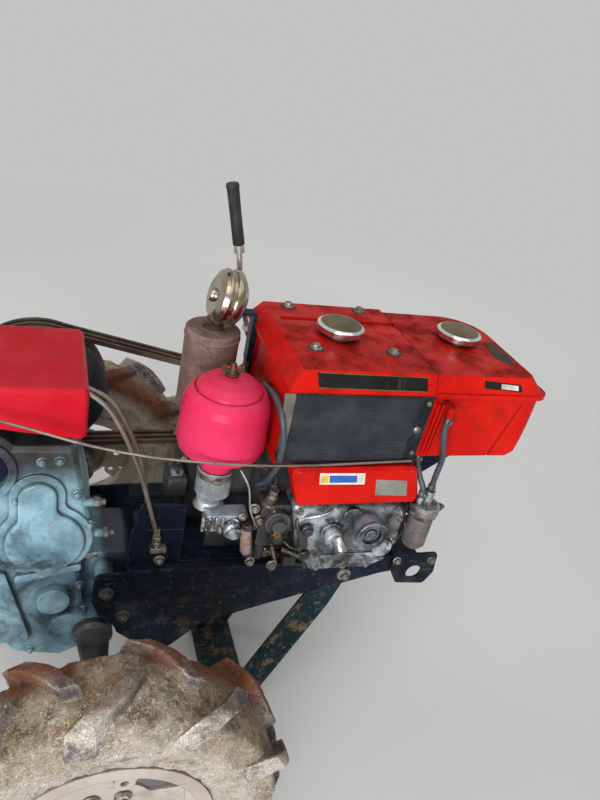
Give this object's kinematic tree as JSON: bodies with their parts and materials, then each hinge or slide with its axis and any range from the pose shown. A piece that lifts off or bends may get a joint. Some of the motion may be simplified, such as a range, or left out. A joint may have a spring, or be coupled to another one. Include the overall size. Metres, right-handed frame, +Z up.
{
  "type": "two-wheel walking tractor",
  "caption": "Walk-behind farm tractor with a horizontal diesel engine, belt drive, lug tyres, handlebars, rear hitch and a folding front stand.",
  "frame": {"origin": "on the ground under the middle of the machine's overall box", "axes": "+X forwards, +Y to the machine's left, +Z up"},
  "size_m": [2.1916, 1.122, 1.1829],
  "materials": {
    "tyre": "matt, caked with dry brown mud",
    "rim": "dusty beige paint with mud",
    "hub": "dusty, greasy iron",
    "gear_casting": "worn teal-grey paint on a rough casting",
    "frame_paint": "dark blue-black paint, dusty and chipped",
    "handle_paint": "dark blue-black paint, worn",
    "stand_paint": "dark teal paint, dusty",
    "grip": "matt black rubber",
    "lever_steel": "dull plated steel",
    "engine_iron": "dark, oily cast iron",
    "alloy_casting": "dull cast alloy with oil stains",
    "belt": "dusty black-brown rubber",
    "red_paint": "glossy red enamel, scratched",
    "rose_paint": "glossy rose-red enamel",
    "screen_paint": "black mesh in a black frame",
    "chrome": "bright plate, slightly tarnished",
    "rusty_steel": "brown rust",
    "cable_sheath": "grey ribbed sheath",
    "hose": "blue-grey fuel hose"
  },
  "bodies": {
    "chassis": {"axle_housings": "engine_iron", "rail_left": "frame_paint", "rail_right": "frame_paint", "handle_left": "handle_paint", "handle_right": "handle_paint", "grips": "grip", "clutch_levers": "lever_steel", "stand_pin": "lever_steel", "gearbox_case": "gear_casting", "gear_cover": "gear_casting", "front_plate": "frame_paint", "shield_plate": "frame_paint", "hitch": "frame_paint", "engine_block": "engine_iron", "cylinder_head": "engine_iron", "gear_case": "alloy_casting", "injection_pump": "engine_iron", "flywheel": "engine_iron", "clutch_pulley": "engine_iron", "v_belts": "belt", "hopper": "red_paint", "hopper_cover": "red_paint", "radiator_side": "engine_iron", "screen": "screen_paint", "side_box": "red_paint", "fuel_tank": "red_paint", "filler_caps": "chrome", "tank_bracket": "frame_paint", "fuel_filter": "alloy_casting", "air_cleaner": "rose_paint", "air_canister": "alloy_casting", "muffler": "rusty_steel", "headlamp": "chrome", "lamp_post": "frame_paint", "console": "red_paint", "handle_base": "gear_casting", "cross_bar": "handle_paint", "hand_lever": "lever_steel", "throttle_lever": "lever_steel", "control_cables": "cable_sheath", "throttle_cable": "cable_sheath", "fuel_hoses": "hose"},
    "wheel_left": {"tyre_left": "tyre", "rim_left": "rim", "hub_left": "hub"},
    "wheel_right": {"tyre_right": "tyre", "rim_right": "rim", "hub_right": "hub"},
    "stand": {"stand_arm_left": "stand_paint", "stand_arm_right": "stand_paint", "stand_foot": "stand_paint"}
  },
  "joints": [
    {"name": "wheel_left_spin", "type": "hinge", "parent": "chassis", "child": "wheel_left", "pos_m": [0.23079, 0.488, 0.31], "axis": [0, 1, 0], "continuous": true},
    {"name": "wheel_right_spin", "type": "hinge", "parent": "chassis", "child": "wheel_right", "pos_m": [0.23079, -0.488, 0.31], "axis": [0, 1, 0], "continuous": true},
    {"name": "stand_swing", "type": "hinge", "parent": "chassis", "child": "stand", "pos_m": [0.75879, 0, 0.44], "axis": [0, -1, 0], "range_deg": [0, 90]}
  ]
}
